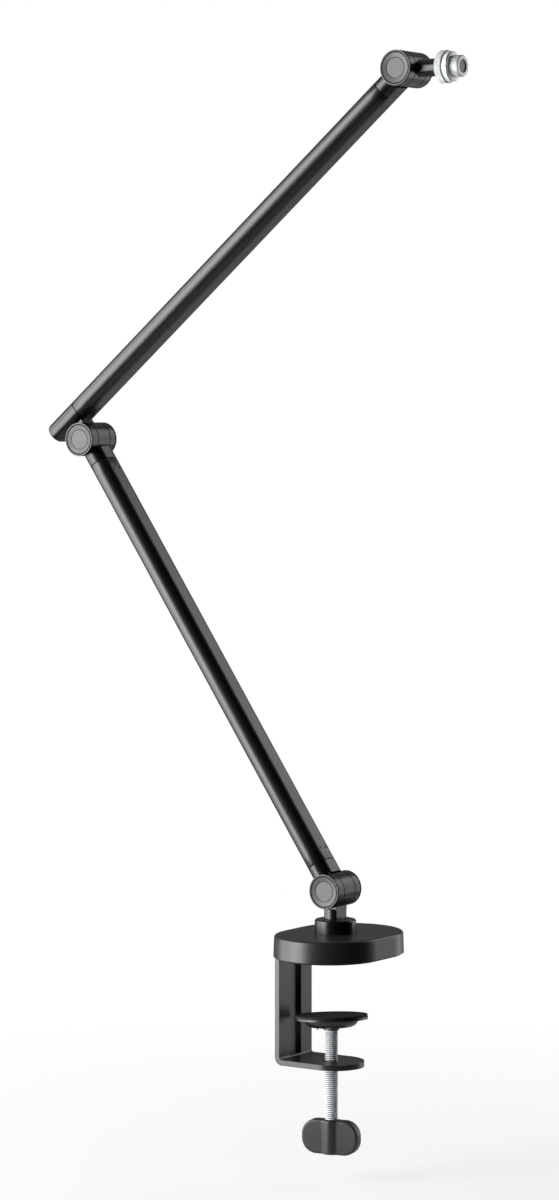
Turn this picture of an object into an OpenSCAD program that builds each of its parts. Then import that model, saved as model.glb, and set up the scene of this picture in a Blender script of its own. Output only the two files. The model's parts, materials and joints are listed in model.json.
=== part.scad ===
// Desk-clamped boom microphone stand: a C clamp under a stadium base, a swivel post,
// two oval tubes folding on three friction pivots, and a 5/8 inch microphone thread.
// Millimetres, +Z up. Origin: swivel axis at the desk top. The arm folds in the XZ plane.

/* [Base] */
// Base size across the desk edge, X
base_w = 82; // [76:1:96]
// Base size along the desk edge, Y
base_l = 109; // [98:1:130]
// Height of the base above the desk
base_h = 17; // [14:0.5:20]
// Rounding of the upper edge of the base
base_edge_r = 2; // [1:0.2:3]
// Thickness of the pad between base and desk
pad_t = 1; // [0.8:0.1:1.5]
// Diameter of the turret that carries the swivel post
boss_d = 31; // [29:0.2:34]
// Height of the turret above the base
boss_h = 10; // [9:0.2:12]

/* [Clamp] */
// Thickness of the bent steel strip
strip_t = 4; // [3:0.5:5]
// Width of the steel strip
strip_w = 44; // [42:1:50]
// Desk top down to the upper face of the lower jaw
jaw_open = 80; // [74:1:90]
// Outer radius of the bends in the strip
bend_r = 6; // [5.5:0.5:9]
// Depth of the stiffening channel pressed into the spine
channel_depth = 2.6; // [1.5:0.1:3]
// Diameter of the clamp screw
screw_d = 10; // [9:0.5:11]
// Diameter of the pressure plate
plate_d = 55; // [48:1:58]
// Upper face of the pressure plate below the desk top
plate_drop = 45.6; // [30:0.2:48]
// Tilt of the pressure plate hanging loose on its ball
plate_tilt = 4.7; // [0:0.1:5]
// Width of the knob
knob_w = 45.6; // [42:0.2:54]
// Height of the knob
knob_h = 26; // [25:0.2:32]
// Thickness of the knob
knob_t = 9; // [8:0.5:11]
// Top of the knob below the desk top
knob_drop = 125; // [122:0.5:130]
// Angle the knob is turned to about the screw
knob_turn = 9.5; // [0:0.5:90]

/* [Arm] */
// Height of the shoulder axis above the desk
pivot_z = 49; // [47:0.5:55]
// Shoulder axis to elbow axis
lower_len = 405; // [300:5:450]
// Lean of the lower arm from the vertical, towards -X
lower_lean = 34.18; // [10:0.01:50]
// Elbow to head axis, measured along the upper arm
upper_len = 396.1; // [300:0.1:450]
// Rise of the upper arm above the horizontal
upper_rise = 40; // [10:1:60]
// Offset of the upper arm from the elbow axis
elbow_offset = 22.4; // [22:0.1:26]
// Thickness of the oval tube in the folding plane
tube_t = 16.4; // [15:0.1:17]
// Width of the oval tube along the pivots
tube_w = 24.9; // [23:0.1:26]
// Wall of the tube
tube_wall = 1.5; // [1.2:0.1:2]

/* [Pivots] */
// Diameter of the pivot barrels
barrel_d = 26; // [25:0.5:28]
// Width of the middle eye
eye_w = 14.4; // [13.4:0.2:15]
// Pivot axis to the end of the tube
seam_x = 22.6; // [21:0.2:26]

/* [Head] */
// Diameter of the microphone thread, 5/8 inch
thread_d = 15.875; // [15.8:0.025:15.9]
// Length of the microphone thread
thread_l = 7.6; // [7:0.2:14]
// Diameter of the knurled locking ring
ring_d = 24; // [21:0.5:25]

/* [View] */
// Sub-part to show, or all

/* [Hidden] */
$fn = 72;
eps = 0.5;
// base
base_x = 3.2;                       // base centre from the swivel axis
base_draft = 0.5;                   // the skirt is this much wider at the foot
cover_wall = 3;
cover_roof = 3.2;
rib_t = 1.6;
rib_z = 6;
boss_top = base_h + boss_h;
boss_spigot_d = 26;
// clamp strip, X positions
spine_x = -39.8;                    // outer face of the spine
tip_x = -0.2;                       // centre of the rounded jaw end
screw_x = -3.4;                     // clamp screw axis
flange_z = pad_t;
jaw_z = -jaw_open - strip_t;
channel_w = 15;
// fixings of the cover and the turret
cover_screw_at = [[-24, 14], [-24, -14], [6, 15], [6, -15]];
boss_screw_r = 10.4;
boss_screw_at = [60, 180, 300];     // angles of the turret screws
// swivel
journal_d = 12;
bush_d = 15;
bush_rim_d = 22;
bush_rim_t = 1.1;
ledge_z = 9;                        // washer seat inside the turret
stem_d = 17.5;
stem_t = 11;
stem_z = boss_top + 0.15;
stem_narrow_z = pivot_z - barrel_d / 2 - 0.9;
// clamp screw assembly
ball_d = 8;
screw_neck_d = 5;
retainer_d = 24;
retainer_t = 0.9;
tab_r = 10.6;
tab_turn = 214;                      // where the bent tab of the retainer points
facing_t = 1.7;
plate_t = 1.8;
dome_h = 5.9;
plate_z = -plate_drop - facing_t - plate_t;   // underside of the plate rim
dome_z = plate_z - dome_h;
ball_rise = 2.8;                     // ball centre above the foot of the dome
ball_z = dome_z + ball_rise;
ball_gap = 0.06;
tilt_axis = [0.64, 0.768, 0];
collar_gap = 0.8;                    // dome to collar, lets the plate lean 5 degrees
collar_h = 1;
collar_d = 12.2;
screw_top_z = dome_z - collar_gap - collar_h - 0.1;
dome_flat_r = 13.5;
dome_edge_r = 7.4;
knob_r = 11.5;
knob_hub_d = 13.6;
screw_tail = 18;                     // depth of the screw inside the knob
// pivots: front is -Y, the barrel is split ear / eye / ear
ear_out = 15;
ear_in = eye_w / 2 + 0.6;
bolt_d = 8;
bolt_hole = bolt_d + 0.1;
seat_y = 10.2;                      // floor of both counterbores
cap_seat_d = 20.8;
nut_af = 10;
slot_r = barrel_d / 2 + 1;          // round bottom of the fork slot
seam_gap = 0.5;                     // groove between a fitting and its tube
plug_l = 22;
tube_screw_x = 9.5;                 // from the tube end
tube_screw_y = 3.4;
// elbow fitting, X from abreast of the elbow axis
tail_x = -22.2;                     // closed end
tail_seam = 10;                     // where the upper tube starts
tail_edge = 3;
// head, X from the head axis
neck_d = 13;
neck_x = 29.8;
stud_d = 9.5;
core_x = 17;                        // inner end of the stud core
ring_x = neck_x + 0.15;
ring_l = 6.3;
flange_x = ring_x + ring_l + 0.1;
flange_l = 4.1;
flange_d = 22;
thread_x = flange_x + flange_l;

// ---------- shared shapes ----------

// Oval outline: two half circles joined by straight sides, long side along the first axis
module oval(t, w) {
    square([w - t, t], center = true);
    for (s = [-1, 1]) translate([s * (w - t) / 2, 0]) circle(d = t);
}

// Bar of oval section along +X, the long side along Y
module oval_bar(l, t, w) rotate([90, 0, 90]) linear_extrude(l) oval(t, w);

// Half profile of a disc: radius along the first axis, rounded upper corner
module edge_profile(r, z0, z1, edge, draft = 0) {
    polygon([[0, z0], [r + draft, z0], [r, z1 - edge], [0, z1 - edge]]);
    translate([0, z1 - edge - eps]) square([r - edge, edge + eps]);
    translate([r - edge, z1 - edge]) circle(edge, $fn = 40);
}

// Stadium slab with rounded upper edge, its long axis along Y
module stadium_slab(w, l, z0, z1, edge, draft = 0) {
    run = (l - w) / 2;
    for (s = [-1, 1]) translate([0, s * run, 0])
        rotate_extrude() edge_profile(w / 2, z0, z1, edge, draft);
    rotate([90, 0, 0]) linear_extrude(2 * run, center = true)
        for (m = [0, 1]) mirror([m, 0]) edge_profile(w / 2, z0, z1, edge, draft);
}

// Ring or disc along +Z
module ring(od, id, h) difference() {
    cylinder(d = od, h = h);
    translate([0, 0, -eps]) cylinder(d = id, h = h + 2 * eps);
}

// Countersunk screw with its head face at z = 0, shank towards +Z
module flat_screw(d, l) {
    difference() {
        cylinder(d1 = 2 * d, d2 = d, h = d / 2);
        translate([0, 0, -eps]) cylinder(d = d, h = 0.35 * d + eps, $fn = 6);
    }
    translate([0, 0, d / 2 - 0.01]) cylinder(d = d, h = l - d / 2);
}

// Room for a countersunk screw
module flat_screw_room(d, l) {
    translate([0, 0, -eps]) cylinder(d = 2 * d + 0.2, h = eps + 0.02);
    cylinder(d1 = 2 * d + 0.2, d2 = d + 0.2, h = d / 2);
    cylinder(d = d + 0.1, h = l);
}

// ---------- frames ----------

// Shoulder axis, +X along the lower tube
module at_shoulder() translate([0, 0, pivot_z]) rotate([0, -90 - lower_lean, 0]) children();

// Elbow axis, +X back along the lower tube
module at_elbow() at_shoulder() translate([lower_len, 0, 0]) rotate([0, 180, 0]) children();

// Upper arm: +X along the tube, origin abreast of the elbow axis
module on_upper()
    translate([-lower_len * sin(lower_lean), 0, pivot_z + lower_len * cos(lower_lean)])
        rotate([0, -upper_rise, 0]) translate([0, 0, elbow_offset]) children();

// Head axis, +X back along the upper tube
module at_head() on_upper() translate([upper_len, 0, 0]) rotate([0, 180, 0]) children();

// Head axis, +X along the level microphone stud
module on_head() on_upper() translate([upper_len, 0, 0]) rotate([0, upper_rise, 0]) children();

// ---------- base ----------

module base_cover() color("#26272a") difference() {
    union() {
        difference() {
            translate([base_x, 0, 0])
                stadium_slab(base_w, base_l, pad_t, base_h, base_edge_r, base_draft);
            translate([base_x, 0, -eps])
                stadium_slab(base_w - 2 * cover_wall, base_l - 2 * cover_wall,
                             0, base_h - cover_roof + eps, 1);
        }
        for (p = cover_screw_at) translate([p[0], p[1], flange_z + strip_t])
            cylinder(d = 9, h = base_h - cover_roof - flange_z - strip_t + 0.2);
        intersection() {
            translate([base_x, 0, 0]) linear_extrude(base_h - 1) rotate(90)
                oval(base_w - 2 * cover_wall + 1, base_l - 2 * cover_wall + 1);
            for (y = [-33, 33]) translate([-60, y - rib_t / 2, rib_z])
                cube([120, rib_t, base_h - cover_roof - rib_z + 0.2]);
        }
    }
    translate([0, 0, -eps]) cylinder(d = boss_spigot_d + 0.2, h = base_h + 2 * eps);
    for (p = cover_screw_at) translate([p[0], p[1], 0]) cylinder(d = 3.2, h = 12);
    // notch for the strip where it turns down
    translate([spine_x - eps, -strip_w / 2 - 0.3, -eps])
        cube([10, strip_w + 0.6, flange_z + strip_t + 0.6 + eps]);
}

module desk_pad() color("#141414") difference() {
    translate([base_x, 0, 0]) linear_extrude(pad_t)
        rotate(90) oval(base_w - 2.4, base_l - 2.4);
    for (p = cover_screw_at) translate([p[0], p[1], -eps]) cylinder(d = 8.6, h = 2 * pad_t);
    translate([spine_x - eps, -strip_w / 2 - 0.5, -eps])
        cube([bend_r + 1, strip_w + 1, 2 * pad_t + eps]);
}

// Tongue outline of both jaws, from the bend to the rounded end
module tongue_outline() {
    translate([spine_x + bend_r, -strip_w / 2]) square([tip_x - spine_x - bend_r, strip_w]);
    translate([tip_x, 0]) circle(d = strip_w);
}

// Quarter bend of the strip; the centre of the bend is at the origin
module strip_bend() rotate([90, 0, 0]) linear_extrude(strip_w, center = true)
    intersection() {
        difference() { circle(bend_r); circle(bend_r - strip_t); }
        translate([-bend_r - 1, 0]) square([bend_r + 1, bend_r + 1]);
    }

module clamp_bracket() color("#2b2c2f") {
    top = flange_z + strip_t - bend_r;
    low = jaw_z + bend_r;
    difference() {
        union() {
            translate([0, 0, flange_z]) linear_extrude(strip_t) tongue_outline();
            translate([0, 0, jaw_z]) linear_extrude(strip_t) tongue_outline();
            translate([spine_x + bend_r, 0, top]) strip_bend();
            translate([spine_x + bend_r, 0, low]) mirror([0, 0, 1]) strip_bend();
            translate([spine_x, -strip_w / 2, low]) cube([strip_t, strip_w, top - low]);
            // back of the pressed channel
            translate([0, 0, low + 1]) linear_extrude(top - low - 2)
                polygon([[spine_x + 0.1, -channel_w / 2 - 1], [spine_x + 0.1, channel_w / 2 + 1],
                         [spine_x - channel_depth + 1.2, channel_w / 2 - 2.2],
                         [spine_x - channel_depth + 1.2, -channel_w / 2 + 2.2]]);
        }
        // channel seen from inside
        translate([0, 0, low - 1]) linear_extrude(top - low + 2)
            polygon([[spine_x + strip_t + 0.1, -channel_w / 2],
                     [spine_x + strip_t + 0.1, channel_w / 2],
                     [spine_x + strip_t - channel_depth, channel_w / 2 - 3.2],
                     [spine_x + strip_t - channel_depth, -channel_w / 2 + 3.2]]);
        for (p = cover_screw_at) translate([p[0], p[1], flange_z]) flat_screw_room(3.9, 10);
        for (a = boss_screw_at) rotate(a) translate([boss_screw_r, 0, flange_z])
            flat_screw_room(3, 10);
        translate([0, 0, flange_z - eps]) cylinder(d = 14, h = strip_t + 2 * eps);
        translate([screw_x, 0, jaw_z - eps]) cylinder(d = screw_d + 0.1, h = strip_t + 2 * eps);
    }
}

module cover_screws() color("#6f7275") for (p = cover_screw_at)
    translate([p[0], p[1], flange_z + 0.05]) flat_screw(3, 10);

module turret_profile() {
    edge_profile(boss_d / 2, base_h, boss_top, 1.4);
    translate([0, flange_z + strip_t]) square([boss_spigot_d / 2, base_h - strip_t]);
}

module swivel_turret() color("#1e1f21") difference() {
    rotate_extrude() turret_profile();
    translate([0, 0, ledge_z]) cylinder(d = bush_d + 0.04, h = 30);
    translate([0, 0, 0]) cylinder(d = 16, h = ledge_z);
    translate([0, 0, boss_top - bush_rim_t]) cylinder(d = bush_rim_d + 0.1, h = 2);
    for (a = boss_screw_at) rotate(a) translate([boss_screw_r, 0, 0])
        cylinder(d = 2.6, h = 14);
}

module turret_screws() color("#6f7275") for (a = boss_screw_at) rotate(a)
    translate([boss_screw_r, 0, flange_z + 0.05]) flat_screw(2.5, 12);

module swivel_bush() color("#161616") difference() {
    union() {
        translate([0, 0, ledge_z]) cylinder(d = bush_d, h = boss_top - ledge_z);
        translate([0, 0, boss_top - bush_rim_t]) cylinder(d = bush_rim_d, h = bush_rim_t);
    }
    cylinder(d = journal_d + 0.1, h = 40);
}

// ---------- swivel ----------

module swivel_stem() color("#26272a") difference() {
    union() {
        translate([0, 0, pivot_z]) rotate([90, 0, 0]) cylinder(d = barrel_d, h = eye_w, center = true);
        intersection() {
            translate([0, 0, stem_z]) cylinder(d = stem_d, h = stem_narrow_z - stem_z);
            translate([-stem_t / 2, -20, 0]) cube([stem_t, 40, 60]);
        }
        translate([-stem_t / 2, -eye_w / 2, stem_narrow_z - 1])
            cube([stem_t, eye_w, pivot_z - stem_narrow_z]);
        translate([0, 0, ledge_z + 0.3]) cylinder(d = journal_d, h = stem_z - ledge_z);
    }
    translate([0, 0, pivot_z]) rotate([90, 0, 0])
        cylinder(d = bolt_hole, h = eye_w + 2, center = true);
    translate([0, 0, ledge_z]) cylinder(d = 5.1, h = 15);
}

module swivel_washer() color("#8d8f92") translate([0, 0, ledge_z - 1.05]) ring(15.6, 6.2, 1);

module swivel_spring() color("#5f6163") translate([0, 0, ledge_z - 2.1]) disc_spring(13, 6.2, 1);

module swivel_screw() color("#8d8f92") translate([0, 0, ledge_z - 4.7]) difference() {
    union() {
        cylinder(d = 10, h = 2.5);
        cylinder(d = 5, h = 18);
    }
    translate([0, 0, -eps]) cylinder(d = 4.6, h = 2, $fn = 6);
}

// ---------- clamp screw ----------

module screw_collar() color("#2a2b2d") translate([screw_x, 0, screw_top_z + 0.1])
    difference() {
        cylinder(d = collar_d, h = collar_h);
        translate([0, 0, -eps]) cylinder(d = screw_neck_d + 0.1, h = 5);
    }

module clamp_screw() color("#b9bec2") translate([screw_x, 0, 0]) {
    translate([0, 0, ball_z]) sphere(d = ball_d);
    translate([0, 0, screw_top_z - 1]) cylinder(d = screw_neck_d, h = ball_z - screw_top_z);
    translate([0, 0, -knob_drop - screw_tail])
        cylinder(d = screw_d, h = knob_drop + screw_tail + screw_top_z);
}

module clamp_knob() color("#1b1c1d") difference() {
    translate([screw_x, 0, -knob_drop - knob_h / 2]) rotate(knob_turn) union() {
        rotate([90, 0, 0]) linear_extrude(knob_t, center = true) {
            square([knob_w - 2 * knob_r, knob_h], center = true);
            square([knob_w, knob_h - 2 * knob_r], center = true);
            for (x = [-1, 1], z = [-1, 1])
                translate([x * (knob_w / 2 - knob_r), z * (knob_h / 2 - knob_r)]) circle(knob_r);
        }
        translate([0, 0, -knob_h / 2]) cylinder(d = knob_hub_d, h = knob_h - 0.4);
    }
    translate([screw_x, 0, -knob_drop - screw_tail - 0.1]) cylinder(d = screw_d + 0.06, h = 30);
}

// The plate and its parts lean about the ball, the +X -Y side up
module on_ball() translate([screw_x, 0, ball_z]) rotate(-plate_tilt, tilt_axis)
    translate([0, 0, -ball_z]) children();

module plate_shape() {
    translate([0, 0, plate_z]) cylinder(d = plate_d, h = plate_t);
    translate([0, 0, dome_z]) rotate_extrude() intersection() {
        square([dome_flat_r + dome_edge_r, dome_h + 0.1]);
        union() {
            square([dome_flat_r, dome_h + 1]);
            translate([dome_flat_r, dome_edge_r]) circle(dome_edge_r);
        }
    }
}

module pressure_plate() color("#2b2c2f") on_ball() difference() {
    plate_shape();
    translate([0, 0, ball_z]) sphere(d = ball_d + 2 * ball_gap);
    translate([0, 0, dome_z - eps]) cylinder(d = retainer_d + 0.1, h = 1 + eps);
    translate([0, 0, dome_z]) cylinder(d = ball_d + 2 * ball_gap, h = ball_rise);
}

module plate_facing() color("#141414") on_ball() translate([0, 0, -plate_drop - facing_t])
    cylinder(d = plate_d - 0.5, h = facing_t);

// Sheet ring closing the ball socket, with one pointed tab bent down
module socket_retainer() color("#4a4c4f") on_ball() translate([0, 0, dome_z]) difference() {
    union() {
        cylinder(d = retainer_d, h = retainer_t);
        rotate(tab_turn) translate([tab_r, 0, 0.1]) rotate([0, 180, 0])
            cylinder(d1 = 1.9, d2 = 0.4, h = 2.2, $fn = 24);
    }
    translate([0, 0, -eps]) cylinder(d = 7.2, h = 2);
}

// ---------- pivot pieces, axis along Y, front at -Y ----------

// Turns the +Z face of an oval to the side that carries the grub screws
module on_side(side) rotate([side > 0 ? 0 : 180, 0, 0]) children();

// Two-eared end fitting with a plug for the tube, tube towards +X
module fork(side) difference() {
    union() {
        rotate([-90, 0, 0]) rotate_extrude() edge_profile(barrel_d / 2, -ear_out, ear_out, 1.2);
        oval_bar(seam_x - seam_gap, tube_t, tube_w);
        translate([seam_x - eps - seam_gap, 0, 0]) oval_bar(plug_l + eps + seam_gap,
            tube_t - 2 * tube_wall - 0.1, tube_w - 2 * tube_wall - 0.1);
    }
    // slot for the eye, its bottom round about the pivot
    translate([-barrel_d, -ear_in, -barrel_d]) cube([barrel_d, 2 * ear_in, 2 * barrel_d]);
    rotate([90, 0, 0]) cylinder(r = slot_r, h = 2 * ear_in, center = true);
    rotate([90, 0, 0]) cylinder(d = bolt_hole, h = 4 * ear_out, center = true);
    rotate([90, 0, 0]) translate([0, 0, seat_y]) cylinder(d = cap_seat_d, h = 10);
    rotate([-90, 0, 0]) {
        translate([0, 0, seat_y]) cylinder(d = (nut_af + 0.1) / cos(30), h = 10, $fn = 6);
        translate([0, 0, 13.4]) cylinder(d = cap_seat_d, h = 10);
    }
    on_side(side) for (y = [-1, 1]) translate([seam_x + tube_screw_x, y * tube_screw_y, 0])
        cylinder(d = 2.54, h = tube_t, $fn = 32);
}

module eye_bore(w) rotate([90, 0, 0]) cylinder(d = bolt_hole, h = w, center = true);

module bolt() rotate([90, 0, 0]) difference() {
    union() {
        translate([0, 0, seat_y + 1.5]) cylinder(d = 13, h = 2.2);
        translate([0, 0, -seat_y]) cylinder(d = bolt_d, h = 2 * seat_y + 2);
        translate([0, 0, -seat_y - 2.9]) cylinder(d = 6, h = 4);
    }
    translate([0, 0, seat_y + 2.4]) cylinder(d = 4.6, h = 3, $fn = 6);
}

module nut() rotate([-90, 0, 0]) translate([0, 0, seat_y + 0.05]) difference() {
    cylinder(d = nut_af / cos(30), h = 2.8, $fn = 6);
    translate([0, 0, -eps]) cylinder(d = 6.04, h = 5);
}

// Conical washer, its inner rim raised
module disc_spring(od, id, h) rotate_extrude()
    polygon([[id / 2, h - 0.5], [id / 2, h], [od / 2, 0.5], [od / 2, 0]]);

module springs() rotate([90, 0, 0]) translate([0, 0, seat_y]) {
    disc_spring(16, bolt_hole + 0.1, 0.74);
    translate([0, 0, 1.49]) mirror([0, 0, 1]) disc_spring(16, bolt_hole + 0.1, 0.74);
}

module washers() for (s = [-1, 1]) translate([0, s * (eye_w / 2 + 0.3), 0])
    rotate([90, 0, 0]) translate([0, 0, -0.28]) ring(24, bolt_hole + 0.1, 0.56);

// Dished cap: flat rim, shallow cone down to a flat centre, press-in skirt behind
module cap() rotate([90, 0, 0]) translate([0, 0, ear_out]) rotate_extrude()
    polygon([[0, -0.9], [7.8, -0.9], [8.6, -1.4], [8.6, -1.6], [cap_seat_d / 2, -1.6],
             [cap_seat_d / 2, 0], [barrel_d / 2 - 0.4, 0], [barrel_d / 2, 0.4],
             [barrel_d / 2, 0.75], [barrel_d / 2 - 0.3, 1], [11.9, 1], [11.65, 0.75],
             [11.4, 0.85], [8, -0.1], [0, -0.1]]);

// Two grub screws through the flat of the tube, at distance x from the frame origin
module grubs(x, side) on_side(side) for (y = [-1, 1])
    translate([x, y * tube_screw_y, tube_t / 2 - 4.3]) difference() {
        cylinder(d = 2.5, h = 4.2, $fn = 32);
        translate([0, 0, 2.8]) cylinder(d = 1.5, h = 3, $fn = 6);
    }

// Oval tube from x0 to x1 with grub holes at both ends
module tube(x0, x1, side) difference() {
    translate([x0, 0, 0]) oval_bar(x1 - x0, tube_t, tube_w);
    translate([x0 - 1, 0, 0])
        oval_bar(x1 - x0 + 2, tube_t - 2 * tube_wall, tube_w - 2 * tube_wall);
    on_side(side) for (x = [x0 + tube_screw_x, x1 - tube_screw_x], y = [-1, 1])
        translate([x, y * tube_screw_y, 2]) cylinder(d = 2.6, h = tube_t, $fn = 32);
}

// ---------- lower arm ----------

module lower_tube() color("#26272a") at_shoulder() tube(seam_x, lower_len - seam_x, -1);

module lower_tube_screws() color("#4a4c4f") at_shoulder() {
    grubs(seam_x + tube_screw_x, -1);
    grubs(lower_len - seam_x - tube_screw_x, -1);
}

// ---------- upper arm ----------

// Closed end: the oval run out to a rounded edge, towards -X
module tail_body() {
    run = (tube_w - tube_t) / 2;
    for (s = [-1, 1]) translate([0, s * run, 0]) rotate([0, -90, 0]) rotate_extrude()
        edge_profile(tube_t / 2, seam_gap - tail_seam, -tail_x, tail_edge);
    rotate([90, 0, 0]) linear_extrude(2 * run, center = true) rotate(90)
        for (m = [0, 1]) mirror([m, 0])
            edge_profile(tube_t / 2, seam_gap - tail_seam, -tail_x, tail_edge);
}

module elbow_fitting() color("#26272a") on_upper() difference() {
    union() {
        tail_body();
        translate([tail_seam - seam_gap - eps, 0, 0])
            oval_bar(plug_l + eps + seam_gap, tube_t - 2 * tube_wall - 0.1, tube_w - 2 * tube_wall - 0.1);
        translate([0, 0, -elbow_offset]) rotate([90, 0, 0])
            cylinder(d = barrel_d, h = eye_w, center = true);
        translate([-stem_t / 2 - 1, -eye_w / 2, -elbow_offset])
            cube([stem_t + 2, eye_w, elbow_offset - 1]);
    }
    translate([0, 0, -elbow_offset]) eye_bore(40);
    on_side(-1) for (y = [-1, 1]) translate([tail_seam + tube_screw_x, y * tube_screw_y, 0])
        cylinder(d = 2.54, h = tube_t, $fn = 32);
}

module upper_tube() color("#26272a") on_upper() tube(tail_seam, upper_len - seam_x, -1);

module upper_tube_screws() color("#4a4c4f") on_upper() {
    grubs(tail_seam + tube_screw_x, -1);
    grubs(upper_len - seam_x - tube_screw_x, -1);
}

// ---------- the three pivots ----------

module shoulder_fork() color("#26272a") at_shoulder() fork(-1);
module shoulder_bolt() color("#8d8f92") at_shoulder() bolt();
module shoulder_nut() color("#8d8f92") at_shoulder() nut();
module shoulder_springs() color("#5f6163") at_shoulder() springs();
module shoulder_washers() color("#101010") at_shoulder() washers();
module shoulder_cap_front() color("#6f7173") at_shoulder() cap();
module shoulder_cap_rear() color("#6f7173") at_shoulder() rear() cap();

module elbow_fork() color("#26272a") at_elbow() fork(1);
module elbow_bolt() color("#8d8f92") at_elbow() bolt();
module elbow_nut() color("#8d8f92") at_elbow() nut();
module elbow_springs() color("#5f6163") at_elbow() springs();
module elbow_washers() color("#101010") at_elbow() washers();
module elbow_cap_front() color("#6f7173") at_elbow() cap();
module elbow_cap_rear() color("#6f7173") at_elbow() rear() cap();

module head_fork() color("#26272a") at_head() fork(1);
module head_bolt() color("#8d8f92") at_head() bolt();
module head_nut() color("#8d8f92") at_head() nut();
module head_springs() color("#5f6163") at_head() springs();
module head_washers() color("#101010") at_head() washers();
module head_cap_front() color("#6f7173") at_head() cap();
module head_cap_rear() color("#6f7173") at_head() rear() cap();

// The same piece on the far side of the barrel
module rear() rotate([0, 0, 180]) children();

// ---------- head ----------

module mic_stud() color("#1e1f21") on_head() difference() {
    union() {
        rotate([90, 0, 0]) cylinder(d = barrel_d, h = eye_w, center = true);
        rotate([0, 90, 0]) cylinder(d = neck_d, h = neck_x);
    }
    eye_bore(40);
    translate([core_x, 0, 0]) rotate([0, 90, 0]) cylinder(d = stud_d + 0.04, h = neck_x);
}

// Threaded core pressed into the neck; ring and adapter turn on it
module stud_core() color("#8d8f92") on_head() translate([core_x + 0.1, 0, 0])
    rotate([0, 90, 0]) cylinder(d = stud_d, h = thread_x + thread_l - 0.8 - core_x);

module lock_ring() color("#c9ccce") on_head() translate([ring_x, 0, 0]) rotate([0, 90, 0])
    difference() {
        union() {
            cylinder(d1 = ring_d - 1.6, d2 = ring_d, h = 0.8);
            translate([0, 0, 0.8]) cylinder(d = ring_d, h = ring_l - 1.6);
            translate([0, 0, ring_l - 0.8]) cylinder(d1 = ring_d, d2 = ring_d - 1.6, h = 0.8);
        }
        translate([0, 0, -eps]) cylinder(d = stud_d + 0.1, h = ring_l + 2 * eps);
    }

module thread_adapter() color("#c9ccce") on_head() translate([flange_x, 0, 0]) rotate([0, 90, 0])
    difference() {
        union() {
            cylinder(d1 = flange_d - 0.8, d2 = flange_d, h = 0.4);
            translate([0, 0, 0.4]) cylinder(d = flange_d, h = flange_l - 1.2);
            translate([0, 0, flange_l - 0.8])
                cylinder(d1 = flange_d, d2 = flange_d - 1.6, h = 0.8);
            translate([0, 0, 1]) cylinder(d = thread_d, h = flange_l + thread_l - 1);
        }
        translate([0, 0, -eps]) cylinder(d = stud_d + 0.06, h = 30);
    }

// ---------- output ----------

base_cover();
desk_pad();
clamp_bracket();
cover_screws();
swivel_turret();
turret_screws();
swivel_bush();
swivel_stem();
swivel_washer();
swivel_spring();
swivel_screw();
screw_collar();
clamp_screw();
clamp_knob();
pressure_plate();
plate_facing();
socket_retainer();
shoulder_fork();
shoulder_bolt();
shoulder_nut();
shoulder_springs();
shoulder_washers();
shoulder_cap_front();
shoulder_cap_rear();
lower_tube();
lower_tube_screws();
elbow_fork();
elbow_bolt();
elbow_nut();
elbow_springs();
elbow_washers();
elbow_cap_front();
elbow_cap_rear();
elbow_fitting();
upper_tube();
upper_tube_screws();
head_fork();
head_bolt();
head_nut();
head_springs();
head_washers();
head_cap_front();
head_cap_rear();
mic_stud();
stud_core();
lock_ring();
thread_adapter();
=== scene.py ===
import json
import math

import bmesh
import bpy
from mathutils import Matrix, Vector


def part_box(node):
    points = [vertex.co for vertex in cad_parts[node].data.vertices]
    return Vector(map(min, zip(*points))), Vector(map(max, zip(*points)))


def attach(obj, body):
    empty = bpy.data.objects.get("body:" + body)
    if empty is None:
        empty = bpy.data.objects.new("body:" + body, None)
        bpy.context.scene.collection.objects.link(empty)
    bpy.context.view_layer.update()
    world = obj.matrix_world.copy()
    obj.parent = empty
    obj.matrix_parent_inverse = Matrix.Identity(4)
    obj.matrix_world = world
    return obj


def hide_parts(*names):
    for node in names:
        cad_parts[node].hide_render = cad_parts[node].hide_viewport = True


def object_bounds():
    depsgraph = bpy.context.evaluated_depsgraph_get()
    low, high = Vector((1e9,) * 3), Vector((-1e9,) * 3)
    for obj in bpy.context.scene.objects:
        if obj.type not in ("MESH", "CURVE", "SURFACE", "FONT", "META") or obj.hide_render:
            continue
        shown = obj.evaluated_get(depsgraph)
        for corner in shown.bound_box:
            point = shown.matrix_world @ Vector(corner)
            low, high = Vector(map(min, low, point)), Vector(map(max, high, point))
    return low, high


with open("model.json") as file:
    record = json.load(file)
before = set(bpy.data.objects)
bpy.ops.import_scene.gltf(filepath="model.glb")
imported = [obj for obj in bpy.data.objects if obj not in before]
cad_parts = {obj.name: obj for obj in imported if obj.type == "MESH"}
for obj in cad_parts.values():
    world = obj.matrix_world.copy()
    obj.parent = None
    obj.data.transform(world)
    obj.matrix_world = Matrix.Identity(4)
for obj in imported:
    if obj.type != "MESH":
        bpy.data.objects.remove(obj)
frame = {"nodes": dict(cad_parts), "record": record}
start_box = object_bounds()
NODES = frame["nodes"]
RECORD = frame["record"]
JOINTS = {j["name"]: j for j in RECORD["behaviour"]["joints"]}
BODY = {n: b for b, ns in RECORD["behaviour"]["bodies"].items() for n in ns}
SLOT = {s["node"]: s["material_slot"] for s in RECORD["subparts"]}
PIVOT = {p: Vector(JOINTS[j]["pos_m"]) for p, j in
         (("shoulder", "shoulder_fold"), ("elbow", "elbow_fold"), ("head", "head_tilt"))}

MM = 0.001
INCH = 25.4 * MM
X, Y, Z = Vector((1, 0, 0)), Vector((0, 1, 0)), Vector((0, 0, 1))
SMOOTH_BELOW = math.radians(38)      # edges sharper than this stay sharp
CAP_SMOOTH_BELOW = math.radians(8)   # the caps' shallow cones need their edges kept
SAME_PLACE = 1e-7


# ---------- node helpers ----------

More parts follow.
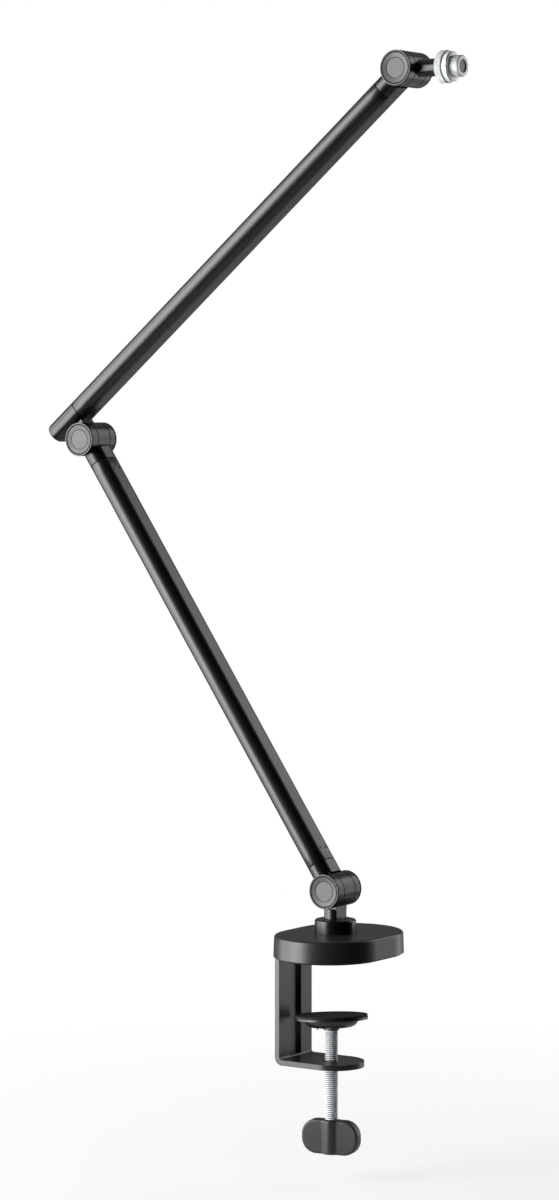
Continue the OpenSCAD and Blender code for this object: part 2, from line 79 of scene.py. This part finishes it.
def new_material(name):
    mat = bpy.data.materials.new(name)
    mat.use_nodes = True
    nt = mat.node_tree
    nt.nodes.clear()
    out = nt.nodes.new("ShaderNodeOutputMaterial")
    bsdf = nt.nodes.new("ShaderNodeBsdfPrincipled")
    nt.links.new(bsdf.outputs["BSDF"], out.inputs["Surface"])
    coord = nt.nodes.new("ShaderNodeTexCoord")
    return mat, nt, bsdf, coord.outputs["Object"]


def noise(nt, vec, scale, detail=4, rough=0.55):
    n = nt.nodes.new("ShaderNodeTexNoise")
    n.inputs["Scale"].default_value = scale
    n.inputs["Detail"].default_value = detail
    n.inputs["Roughness"].default_value = rough
    nt.links.new(vec, n.inputs["Vector"])
    return n.outputs["Fac"]


def ramp(nt, fac, lo, hi, a, b):
    """a to b as fac goes from lo to hi, and held outside that."""
    r = nt.nodes.new("ShaderNodeMapRange")
    r.inputs["From Min"].default_value = lo
    r.inputs["From Max"].default_value = hi
    r.inputs["To Min"].default_value = a
    r.inputs["To Max"].default_value = b
    nt.links.new(fac, r.inputs["Value"])
    return r.outputs["Result"]


def mix_colour(nt, fac, a, b):
    m = nt.nodes.new("ShaderNodeMix")
    m.data_type = "RGBA"
    m.inputs[6].default_value = (*a, 1)
    m.inputs[7].default_value = (*b, 1)
    nt.links.new(fac, m.inputs[0])
    return m.outputs[2]


def bump(nt, bsdf, height, strength, distance, edge=0.0):
    b = nt.nodes.new("ShaderNodeBump")
    if edge:
        soft = nt.nodes.new("ShaderNodeBevel")
        soft.samples = 4
        soft.inputs["Radius"].default_value = edge
        nt.links.new(soft.outputs["Normal"], b.inputs["Normal"])
    b.inputs["Strength"].default_value = strength
    b.inputs["Distance"].default_value = distance
    nt.links.new(height, b.inputs["Height"])
    nt.links.new(b.outputs["Normal"], bsdf.inputs["Normal"])


def satin_black(name, base, rough, grain, ior=1.5, edge=0.6 * MM):
    """Coated or moulded black: slow drifts in shade and gloss, a fine grain, softened edges."""
    mat, nt, bsdf, vec = new_material(name)
    large = noise(nt, vec, scale=18, detail=3)
    fine = noise(nt, vec, scale=grain, detail=2, rough=0.7)
    darker, lighter = [c * 0.88 for c in base], [c * 1.12 for c in base]
    shade = mix_colour(nt, ramp(nt, large, 0.35, 0.65, 0, 1), darker, lighter)
    nt.links.new(shade, bsdf.inputs["Base Color"])
    nt.links.new(ramp(nt, large, 0.3, 0.7, rough - 0.02, rough + 0.03), bsdf.inputs["Roughness"])
    bsdf.inputs["IOR"].default_value = ior
    bump(nt, bsdf, fine, strength=0.05, distance=0.04 * MM, edge=edge)
    return mat


def metal(name, base, rough, grain, edge=0.25 * MM, metallic=1.0):
    """Plated or blasted metal: faint clouds in the colour and a fine grain in the gloss."""
    mat, nt, bsdf, vec = new_material(name)
    large = noise(nt, vec, scale=60, detail=4)
    fine = noise(nt, vec, scale=grain, detail=3, rough=0.6)
    darker = [c * 0.92 for c in base]
    shade = mix_colour(nt, ramp(nt, large, 0.3, 0.7, 0, 1), darker, base)
    nt.links.new(shade, bsdf.inputs["Base Color"])
    nt.links.new(ramp(nt, fine, 0.3, 0.7, rough - 0.04, rough + 0.06), bsdf.inputs["Roughness"])
    bsdf.inputs["Metallic"].default_value = metallic
    bump(nt, bsdf, fine, strength=0.06, distance=0.04 * MM, edge=edge)
    return mat


# base colour, roughness, grain scale, then whatever differs from the usual
MATS = {
    "black_alloy": satin_black("black_alloy", (0.004, 0.004, 0.0042), 0.28, 2600, 1.45),
    "black_alloy_satin": satin_black("black_alloy_satin", (0.005, 0.005, 0.0052), 0.33, 3000),
    "black_steel": satin_black("black_steel", (0.01, 0.01, 0.0104), 0.33, 1800),
    "black_plastic": satin_black("black_plastic", (0.016, 0.016, 0.0162), 0.42, 1500),
    "fibre_black": satin_black("fibre_black", (0.006, 0.006, 0.006), 0.8, 1200),
    "black_rubber": satin_black("black_rubber", (0.012, 0.012, 0.012), 0.7, 1400),
    "satin_grey": metal("satin_grey", (0.06, 0.06, 0.061), 0.45, 1800),
    "zinc_steel": metal("zinc_steel", (0.93, 0.96, 0.98), 0.34, 1500, metallic=0.22),
    "nickel_plate": metal("nickel_plate", (0.92, 0.94, 0.95), 0.34, 900, metallic=0.25),
    "fastener_steel": metal("fastener_steel", (0.5, 0.51, 0.52), 0.3, 1500),
    "black_cover": satin_black("black_cover", (0.011, 0.011, 0.0112), 0.36, 1700),
    # painted shade for the thread and knurl roots: a grey, not metallic, that stands in for the shade
    # down in the roots
    "painted_root_shade": satin_black("painted_root_shade", (0.2, 0.205, 0.215), 0.5, 1700, edge=0.0),
    "dark_steel": metal("dark_steel", (0.12, 0.12, 0.125), 0.38, 1500),
}
DULL_SPECULAR = 0.15

for name in ("black_rubber", "fibre_black"):
    principled = next(n for n in MATS[name].node_tree.nodes if n.type == "BSDF_PRINCIPLED")
    principled.inputs["Specular IOR Level"].default_value = DULL_SPECULAR

for name, obj in NODES.items():
    obj.data.materials.clear()
    obj.data.materials.append(MATS["black_cover" if name == "base_cover" else SLOT[name]])

# ---------- mesh helpers ----------

def tube_grid(name, rows, closed_rows=False):
    """Mesh through rings of points; every row is a closed ring of the same count."""
    bm = bmesh.new()
    rings = [[bm.verts.new(p) for p in row] for row in rows]
    count = len(rings[0])
    last = len(rings) if closed_rows else len(rings) - 1
    for i in range(last):
        a, b = rings[i], rings[(i + 1) % len(rings)]
        for j in range(count):
            k = (j + 1) % count
            quad = [a[j], a[k], b[k], b[j]]
            spots = {tuple(v.co): v for v in quad}
            if len(spots) > 2:
                bm.faces.new(quad if len(spots) == 4 else list(spots.values()))
    bmesh.ops.remove_doubles(bm, verts=bm.verts, dist=SAME_PLACE)
    bmesh.ops.recalc_face_normals(bm, faces=bm.faces)
    mesh = bpy.data.meshes.new(name)
    bm.to_mesh(mesh)
    bm.free()
    for face in mesh.polygons:
        face.use_smooth = True
    mesh.set_sharp_from_angle(angle=SMOOTH_BELOW)
    obj = bpy.data.objects.new(name, mesh)
    bpy.context.scene.collection.objects.link(obj)
    return obj


def stand_for(obj, node):
    """Shows obj in place of the CAD node, on its body and with its material."""
    obj.data.materials.append(MATS[SLOT[node]])
    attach(obj, BODY[node])
    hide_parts(node)
    return obj


def lathe_rows(profile, origin, axis, side, count, radius_at=None):
    """Rings about an axis; profile holds (distance along the axis, radius)."""
    other = axis.cross(side)
    rows = []
    for z, r in profile:
        row = []
        for j in range(count):
            t = 2 * math.pi * j / count
            radius = radius_at(z, t, r) if radius_at else r
            row.append(origin + axis * z + (side * math.cos(t) + other * math.sin(t)) * radius)
        rows.append(row)
    return rows


def paint_root_shade(obj, origin, axis, radius, span):
    """Painted shade in thread and knurl roots: a second, darker material on the faces that lie below
    radius, between two distances along the axis.
    """
    obj.data.materials.append(MATS["painted_root_shade"])
    for face in obj.data.polygons:
        rel = face.center - origin
        z = rel.dot(axis)
        if span[0] < z < span[1] and (rel - axis * z).length < radius:
            face.material_index = 1


def screw_thread(pitch, depth, z0, z1, fade, crest=0.1):
    """Radius rule of a right-hand V thread cut between z0 and z1, fading out at both ends.

    crest and root are shares of half a turn: below the first it is flat on top, above the
    second flat at the bottom.
    """
    root = 0.85

    def at(z, t, r):
        if z <= z0 or z >= z1:
            return r
        u = ((z / pitch) - t / (2 * math.pi)) % 1.0
        tooth = abs(u - 0.5) * 2
        cut = min(1.0, max(0.0, (tooth - crest) / (root - crest)))
        ends = min(1.0, (z - z0) / fade, (z1 - z) / fade)
        return r - depth * cut * ends
    return at


# ---------- silver pieces ----------

def build_clamp_screw():
    """Threaded spindle with a plain neck and the ball that the pressure plate hangs on."""
    lo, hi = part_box("clamp_screw")
    collar_lo, collar_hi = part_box("screw_collar")
    cx = (collar_lo.x + collar_hi.x) / 2
    major = (hi.x - lo.x) / 2
    ball = Vector(JOINTS["plate_tilt"]["pos_m"])
    ball_r = hi.z - ball.z
    neck_r = 2.5 * MM
    top = collar_lo.z - 0.1 * MM
    pitch, depth, root_shade_depth = 1.5 * MM, 1.0 * MM, 0.56 * MM
    rings_per_turn, sides, ball_rings = 12, 64, 16
    chamfer = 0.9 * MM
    run = top - lo.z - 2 * chamfer
    profile = [(lo.z, 0.0), (lo.z, major - chamfer), (lo.z + chamfer, major)]
    rings = int(run / pitch * rings_per_turn)
    for i in range(1, rings):
        profile.append((lo.z + chamfer + run * i / rings, major))
    profile += [(top - chamfer, major), (top, major - chamfer), (top, neck_r)]
    neck_angle = math.asin(math.sqrt(ball_r ** 2 - neck_r ** 2) / ball_r)
    for i in range(ball_rings + 1):
        a = -neck_angle + (math.pi / 2 + neck_angle) * i / ball_rings
        profile.append((ball.z + ball_r * math.sin(a), max(0.0, ball_r * math.cos(a))))
    thread = screw_thread(pitch, depth, lo.z + 0.5 * chamfer, top - 0.2 * MM, pitch)
    centre = Vector((cx, 0, 0))
    rows = lathe_rows(profile, centre, Z, X, sides, thread)
    obj = stand_for(tube_grid("spindle", rows), "clamp_screw")
    # painted shade in the thread roots
    paint_root_shade(obj, centre, Z, major - root_shade_depth, (lo.z + 2 * MM, top - 0.8 * MM))


def lighten_bore(obj, mid, radius):
    """Gives the faces inside the bore their first material back, without the painted root shade."""
    for face in obj.data.polygons:
        if math.hypot(face.center.y - mid.y, face.center.z - mid.z) < radius:
            face.material_index = 0


def build_lock_ring():
    """Ring with a chamfer at each end and a diamond knurl between them."""
    lo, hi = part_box("lock_ring")
    r = (hi.z - lo.z) / 2
    mid = Vector((lo.x, (lo.y + hi.y) / 2, (lo.z + hi.z) / 2))
    length = hi.x - lo.x
    bore = 4.8 * MM
    chamfer = 0.7 * MM
    teeth, sides_per_tooth, steps = 46, 10, 18
    groove_depth, groove_share, root_shade_depth = 0.55 * MM, 0.5, 0.34 * MM
    profile = [(0.0, bore), (0.0, r - 1.4 * chamfer)]
    profile += [(chamfer * 0.5, r - 0.5 * chamfer), (chamfer, r)]
    profile += [(chamfer + (length - 2 * chamfer) * i / steps, r) for i in range(1, steps)]
    profile += [(length - chamfer, r), (length - chamfer * 0.5, r - 0.5 * chamfer)]
    profile += [(length, r - 1.4 * chamfer), (length, bore)]

    def knurl(z, t, radius):
        """Two crossing sets of slanting grooves, as wide as they are long on the surface."""
        if radius < r - chamfer:
            return radius
        around, along = t * teeth / (2 * math.pi), z * teeth / (2 * math.pi * r)
        slant = (abs(2 * ((around + s * along) % 1.0) - 1) for s in (1, -1))
        return radius - groove_depth * max(max(0.0, 1 - u / groove_share) for u in slant)

    rows = lathe_rows(profile, mid, X, Y, teeth * sides_per_tooth, knurl)
    obj = stand_for(tube_grid("knurled_ring", rows, True), "lock_ring")
    # painted shade in the knurl roots
    paint_root_shade(obj, mid, X, r - root_shade_depth, (0.7 * chamfer, length - 0.7 * chamfer))
    lighten_bore(obj, mid, 1.1 * bore)


def build_adapter():
    """Flange and threaded end; the thread fills the length of the mic_thread mount."""
    lo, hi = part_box("thread_adapter")
    r = (hi.z - lo.z) / 2
    mid = Vector((lo.x, (lo.y + hi.y) / 2, (lo.z + hi.z) / 2))
    end = hi.x - lo.x
    pin = next(m for m in RECORD["mounts"] if m["name"] == "mic_thread")
    major = pin["dims"]["r_mm"] * MM
    seat = end - pin["dims"]["length_mm"] * MM
    bore, hole_depth = 4.8 * MM, 6 * MM
    pitch, depth, root_shade_depth, crest = INCH / 27, 0.4 * MM, 0.37 * MM, 0.3
    rings_per_turn, sides = 14, 96
    edge = 0.6 * MM
    profile = [(0.0, bore), (0.0, r - edge), (edge * 0.6, r), (seat - edge * 1.2, r)]
    profile += [(seat - 0.2 * edge, r - 0.9 * edge), (seat, r - 1.4 * edge), (seat, major)]
    rings = int((end - seat) / pitch * rings_per_turn)
    profile += [(seat + (end - edge - seat) * i / rings, major) for i in range(1, rings + 1)]
    profile += [(end, major - edge), (end, bore + 0.5 * edge), (end - 0.5 * edge, bore)]
    profile += [(end - hole_depth, bore)]
    thread = screw_thread(pitch, depth, seat, end + depth, pitch, crest)

    def outer_thread(z, t, radius):
        on_thread = major - edge < radius <= major + 1e-6
        return thread(z, t, radius) if on_thread else radius

    rows = lathe_rows(profile, mid, X, Y, sides, outer_thread)
    obj = stand_for(tube_grid("mic_adapter", rows, True), "thread_adapter")
    # painted shade in the thread roots
    paint_root_shade(obj, mid, X, major - root_shade_depth, (seat + 0.3 * MM, end - edge * 1.2))
    lighten_bore(obj, mid, 1.1 * bore)


# ---------- knob ----------

KNOB_TURN = math.radians(9.5)   # about the screw, as the CAD knob stands


def build_knob():
    """Flat knob with rounded ends and a rib down the middle that blends into both faces."""
    lo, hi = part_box("clamp_knob")
    mid = (lo + hi) / 2
    half_w, half_h = 22.8 * MM, (hi.z - lo.z) / 2
    ridge_r, plate, corner, edge = 6.8 * MM, 4.5 * MM, 11.5 * MM, 1.6 * MM
    corner_steps, edge_steps, face_steps = 18, 8, 28
    spacing, soft = 1.2 * MM, 1.6 * MM
    cw, ch = half_w - corner, half_h - corner
    outline = []
    for sx, sz, a0 in ((1, 1, 0), (-1, 1, 90), (-1, -1, 180), (1, -1, 270)):
        for i in range(corner_steps + 1):
            a = math.radians(a0 + 90 * i / corner_steps)
            outline.append((sx * cw + corner * math.cos(a), sz * ch + corner * math.sin(a),
                            math.cos(a), math.sin(a)))
    dense = []
    for i, p in enumerate(outline):
        q = outline[(i + 1) % len(outline)]
        cuts = max(1, int(math.hypot(q[0] - p[0], q[1] - p[1]) / spacing))
        dense += [tuple(p[k] + (q[k] - p[k]) * c / cuts for k in range(4)) for c in range(cuts)]

    def height(x):
        """Half the thickness at x: the higher of rib and plate, blended over soft."""
        ridge = math.sqrt(max(0.0, ridge_r ** 2 - x * x))
        h = max(0.0, min(1.0, 0.5 + 0.5 * (plate - ridge) / soft))
        return ridge + (plate - ridge) * h + soft * h * (1 - h) * 0.6

    spin = Matrix.Rotation(KNOB_TURN, 3, "Z")
    rows = []
    for side in (-1, 1):
        face = []
        for a in (math.radians(90 * i / edge_steps) for i in range(edge_steps + 1)):
            inset, drop = edge * (1 - math.cos(a)), edge * (1 - math.sin(a))
            face.append([(x - nx * inset, z - nz * inset, drop) for x, z, nx, nz in dense])
        rim = face[-1]
        for s in range(1, face_steps + 1):
            k = 1 - s / face_steps
            face.append([(x * k, z * k, 0.0) for x, z, _ in rim])
        ring = [[mid + spin @ Vector((x, side * min(ridge_r, height(x) - drop), z))
                 for x, z, drop in row] for row in face]
        rows += ring[::-1] if side < 0 else ring
    stand_for(tube_grid("wing_knob", rows), "clamp_knob")


# ---------- tubes ----------

def oval_ring(t, w, count):
    """Points of an oval outline: t thick, w wide, the wide side along the first value."""
    flat = 6
    r, run = t / 2, (w - t) / 2
    half = count // 2
    pts = []
    for s in (1, -1):
        for i in range(half + 1):
            a = math.pi * i / half - math.pi / 2
            pts.append((s * (run + r * math.cos(a)), s * r * math.sin(a)))
        for i in range(1, flat):
            k = 1 - 2 * i / flat
            pts.append((s * run * k, s * r))
    return pts


UPPER_RISE = math.radians(40)
UPPER_DIR = Vector((math.cos(UPPER_RISE), 0, math.sin(UPPER_RISE)))
UPPER_NORMAL = Vector((-math.sin(UPPER_RISE), 0, math.cos(UPPER_RISE)))
LOWER_DIR = (PIVOT["elbow"] - PIVOT["shoulder"]).normalized()
OFFSET = (PIVOT["head"] - PIVOT["elbow"]).dot(UPPER_NORMAL)
UPPER_FOOT = PIVOT["elbow"] + UPPER_NORMAL * OFFSET
TUBE_T, TUBE_W, TUBE_WALL = 16.4 * MM, 24.9 * MM, 1.5 * MM
SEAM, TAIL_SEAM = 22.6 * MM, 10 * MM   # from a pivot, or the upper tube's foot, to the tube's end
SCREW_X, SCREW_Y, SCREW_HOLE_R, SCREW_HOLE_REACH = 9.5 * MM, 3.4 * MM, 1.3 * MM, 2.5 * MM


def bore(obj, at, axis, radius, reach):
    """Cuts a round hole through one wall of obj."""
    sides = 24
    side = axis.orthogonal().normalized()
    rows = lathe_rows([(-reach, 0.0), (-reach, radius), (reach, radius), (reach, 0.0)],
                      at, axis, side, sides)
    cutter = tube_grid("cutter", rows)
    mod = obj.modifiers.new("hole", "BOOLEAN")
    mod.object = cutter
    mod.solver = "EXACT"
    bpy.context.view_layer.update()
    deps = bpy.context.evaluated_depsgraph_get()
    mesh = bpy.data.meshes.new_from_object(obj.evaluated_get(deps))
    obj.modifiers.clear()
    obj.data = mesh
    bpy.data.objects.remove(cutter)


def build_tube(name, node, start, direction, length, up_axis):
    """Oval tube with eased ends; up_axis points out of the flat that carries the screws."""
    ease, spans, sides = 0.25 * MM, 40, 72
    full, inner = (TUBE_T, TUBE_W), (TUBE_T - 2 * TUBE_WALL, TUBE_W - 2 * TUBE_WALL)
    nearly = (TUBE_T - 0.6 * ease, TUBE_W - 0.6 * ease)
    eased = (TUBE_T - 2 * ease, TUBE_W - 2 * ease)
    levels = [(0.0, eased), (ease * 0.3, nearly), (ease, full)]
    levels += [(ease + (length - 2 * ease) * i / spans, full) for i in range(1, spans)]
    levels += [(length - ease, full), (length - 0.3 * ease, nearly), (length, eased)]
    levels += [(length, inner), (length / 2, inner), (0.0, inner)]
    rows = [[start + direction * x + Y * a + up_axis * b for a, b in oval_ring(*size, sides)]
            for x, size in levels]
    obj = tube_grid(name, rows, True)
    for x in (SCREW_X, length - SCREW_X):
        for y in (-SCREW_Y, SCREW_Y):
            bore(obj, start + direction * x + Y * y + up_axis * TUBE_T / 2, up_axis,
                 SCREW_HOLE_R, SCREW_HOLE_REACH)
    for face in obj.data.polygons:
        face.use_smooth = True
    obj.data.set_sharp_from_angle(angle=SMOOTH_BELOW)
    return stand_for(obj, node)


LOWER_LEAN = math.atan2(-LOWER_DIR.x, LOWER_DIR.z)
LOWER_UP = Vector((math.cos(LOWER_LEAN), 0, math.sin(LOWER_LEAN)))
reach = (PIVOT["elbow"] - PIVOT["shoulder"]).length - 2 * SEAM
build_tube("lower_tube_skin", "lower_tube", PIVOT["shoulder"] + LOWER_DIR * SEAM, LOWER_DIR,
           reach, LOWER_UP)
reach = (PIVOT["head"] - UPPER_FOOT).length - SEAM - TAIL_SEAM
build_tube("upper_tube_skin", "upper_tube", UPPER_FOOT + UPPER_DIR * TAIL_SEAM, UPPER_DIR,
           reach, -UPPER_NORMAL)


# ---------- caps ----------

def build_cap(node, pivot, side):
    """Dished cap with a groove inside its raised lip, the groove painted black as painted shade; side
    is -1 at the front.

    Its profile is in distances from the pivot along the axis, out to the face at out.
    """
    sides = 120
    lo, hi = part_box(node)
    clear_of_box = 0.002 * MM
    r = (hi.z - lo.z) / 2 - clear_of_box
    face = (lo.y if side < 0 else hi.y) - pivot.y
    out = abs(face)
    lip, groove, disc = r - 1.2 * MM, r - 1.95 * MM, 7.5 * MM
    back, spigot_r = out - 2.6 * MM, 10.3 * MM
    seat, ease = out - 1 * MM, 0.3 * MM
    dish, slit = out - 0.75 * MM, out - 0.95 * MM
    profile = [(back, 0.0), (back, spigot_r), (seat, spigot_r), (seat, r - ease), (seat + ease, r),
               (out - ease, r), (out - 0.08 * MM, r - 0.1 * MM), (out, r - 0.32 * MM)]
    profile += [(out, lip + 0.2 * MM), (out - 0.1 * MM, lip), (seat + ease, lip - 0.05 * MM),
                (seat + ease, groove + 0.05 * MM), (out - 0.15 * MM, groove)]
    profile += [(out - 0.2 * MM, groove - 0.15 * MM), (dish, disc + 0.25 * MM),
                (slit, disc + 0.1 * MM), (slit, disc), (dish, disc - 0.12 * MM), (dish, 0.0)]
    rows = lathe_rows(profile, pivot, Y * side, Z, sides)
    obj = stand_for(tube_grid(node + "_dish", rows), node)
    obj.data.set_sharp_from_angle(angle=CAP_SMOOTH_BELOW)
    # painted shade: the faces in the lip groove and in the fine groove round the disc get the black
    # fibre material
    obj.data.materials.append(MATS["fibre_black"])
    for poly in obj.data.polygons:
        rel = poly.center - pivot
        radial = math.hypot(rel.x, rel.z)
        in_lip_groove = groove < radial < lip and abs(rel.y) < out - 0.05 * MM
        in_disc_groove = disc - 0.05 * MM < radial < disc + 0.2 * MM and abs(rel.y) > out - 1.5 * MM
        if in_lip_groove or in_disc_groove:
            poly.material_index = 1


for pivot_name, at in PIVOT.items():
    build_cap(pivot_name + "_cap_front", at, -1)
    build_cap(pivot_name + "_cap_rear", at, 1)
build_clamp_screw()
build_lock_ring()
build_adapter()
build_knob()

# ---------- camera ----------

# fitted once to the photo's three pivot barrels
CAM_AT = Vector((1.49483, -2.27936, 0.4202))
CAM_AZ, CAM_PITCH = math.radians(34.136), math.radians(3.238)
CAM_SENSOR, CAM_LENS = 36, 109.96
look = Vector((-math.sin(CAM_AZ) * math.cos(CAM_PITCH),
               math.cos(CAM_AZ) * math.cos(CAM_PITCH), -math.sin(CAM_PITCH)))
cam_data = bpy.data.cameras.new("camera")
cam_data.sensor_width = CAM_SENSOR
cam_data.lens = CAM_LENS
camera = bpy.data.objects.new("camera", cam_data)
camera.location = CAM_AT
camera.rotation_mode = "QUATERNION"
camera.rotation_quaternion = look.to_track_quat("-Z", "Y")
bpy.context.scene.collection.objects.link(camera)
bpy.context.scene.camera = camera

# ---------- studio ----------

right = Vector((math.cos(CAM_AZ), math.sin(CAM_AZ), 0))
away = Vector((-math.sin(CAM_AZ), math.cos(CAM_AZ), 0))
middle = Vector((-0.06, 0, 0.33))   # what every light is aimed at


def area_light(name, offset, size_x, size_y, watts):
    """Softbox aimed at the middle, offset to the right, away from the camera and up."""
    data = bpy.data.lights.new(name, "AREA")
    data.shape = "RECTANGLE"
    data.size, data.size_y = size_x, size_y
    data.energy = watts
    obj = bpy.data.objects.new(name, data)
    at = middle + right * offset[0] + away * offset[1] + Z * offset[2]
    obj.location = at
    obj.rotation_mode = "QUATERNION"
    obj.rotation_quaternion = (middle - at).to_track_quat("-Z", "Y")
    obj.visible_camera = False
    bpy.context.scene.collection.objects.link(obj)


# offset in metres, width, height, watts
area_light("left_softbox", (-1.9, -0.72, 0.1), 1.2, 2.4, 95)
area_light("far_left_softbox", (-2.05, 0.5, 0.1), 1.3, 2.4, 46)
area_light("right_strip", (1.75, 1.1, 0.35), 1.1, 2.4, 18)
area_light("top_softbox", (-1.1, 0.65, 1.86), 1.6, 1.6, 2)

def build_world():
    """White to the camera; to everything else a grey sky, lit behind the stand and low at the right."""
    world = bpy.data.worlds.new("studio")
    bpy.context.scene.world = world
    world.use_nodes = True
    nt = world.node_tree
    nt.nodes.clear()
    facing = nt.nodes.new("ShaderNodeTexCoord").outputs["Generated"]

    def towards(direction, lo, hi, a, b):
        """a to b as the cosine of the angle to direction goes from lo to hi."""
        dot = nt.nodes.new("ShaderNodeVectorMath")
        dot.operation = "DOT_PRODUCT"
        dot.inputs[1].default_value = direction
        nt.links.new(facing, dot.inputs[0])
        return ramp(nt, dot.outputs["Value"], lo, hi, a, b)

    def background(strength):
        node = nt.nodes.new("ShaderNodeBackground")
        node.inputs["Color"].default_value = (1, 1, 1, 1)
        node.inputs["Strength"].default_value = strength
        return node

    low_right = (right * 0.5 + away * 0.62 - Z * 0.6).normalized()
    sky = nt.nodes.new("ShaderNodeMath")
    sky.operation = "MULTIPLY_ADD"
    nt.links.new(towards(Z, 0.22, 0.55, 0.17, 0.22), sky.inputs[0])
    nt.links.new(towards(away, -0.1, 0.6, 0.01, 1.0), sky.inputs[1])
    nt.links.new(towards(low_right, 0.8, 0.97, 0.0, 0.42), sky.inputs[2])
    lit, seen = background(1.0), background(1.0)
    nt.links.new(sky.outputs[0], lit.inputs["Strength"])
    mix = nt.nodes.new("ShaderNodeMixShader")
    path = nt.nodes.new("ShaderNodeLightPath")
    nt.links.new(path.outputs["Is Camera Ray"], mix.inputs[0])
    nt.links.new(lit.outputs[0], mix.inputs[1])
    nt.links.new(seen.outputs[0], mix.inputs[2])
    out = nt.nodes.new("ShaderNodeOutputWorld")
    nt.links.new(mix.outputs[0], out.inputs["Surface"])


build_world()


def make_floor(z, radius):
    """Round pale floor that fades out, and that the camera sees paler than the light makes it."""
    segments, fade_from, fade_to, paler_share = 96, 0.15, 0.7, 0.72
    bm = bmesh.new()
    bmesh.ops.create_circle(bm, cap_ends=True, segments=segments, radius=radius)
    mesh = bpy.data.meshes.new("floor")
    bm.to_mesh(mesh)
    bm.free()
    obj = bpy.data.objects.new("floor", mesh)
    obj.location = (0, 0, z)
    bpy.context.scene.collection.objects.link(obj)
    mat, nt, bsdf, vec = new_material("floor")
    bsdf.inputs["Base Color"].default_value = (0.92, 0.92, 0.92, 1)
    bsdf.inputs["Roughness"].default_value = 0.9
    length = nt.nodes.new("ShaderNodeVectorMath")
    length.operation = "LENGTH"
    nt.links.new(vec, length.inputs[0])
    fade = ramp(nt, length.outputs["Value"], fade_from, fade_to, 0, 1)
    clear = nt.nodes.new("ShaderNodeBsdfTransparent")
    glow = nt.nodes.new("ShaderNodeEmission")
    paler = nt.nodes.new("ShaderNodeMixShader")
    path = nt.nodes.new("ShaderNodeLightPath")
    share = ramp(nt, path.outputs["Is Camera Ray"], 0, 1, 0, paler_share)
    nt.links.new(share, paler.inputs[0])
    nt.links.new(bsdf.outputs[0], paler.inputs[1])
    nt.links.new(glow.outputs[0], paler.inputs[2])
    blend = nt.nodes.new("ShaderNodeMixShader")
    nt.links.new(fade, blend.inputs[0])
    nt.links.new(paler.outputs[0], blend.inputs[1])
    nt.links.new(clear.outputs[0], blend.inputs[2])
    out = next(n for n in nt.nodes if n.type == "OUTPUT_MATERIAL")
    nt.links.new(blend.outputs[0], out.inputs["Surface"])
    mesh.materials.append(mat)


# the floor lies below the lowest point of the screw's travel, so it hides nothing in any pose
FLOOR_GAP, FLOOR_RADIUS = 0.5 * MM, 3.0
lowest_travel = JOINTS["clamp_travel"]["range_m"][0]
make_floor(start_box[0].z + lowest_travel - FLOOR_GAP, FLOOR_RADIUS)
bpy.context.scene.view_settings.view_transform = "Standard"
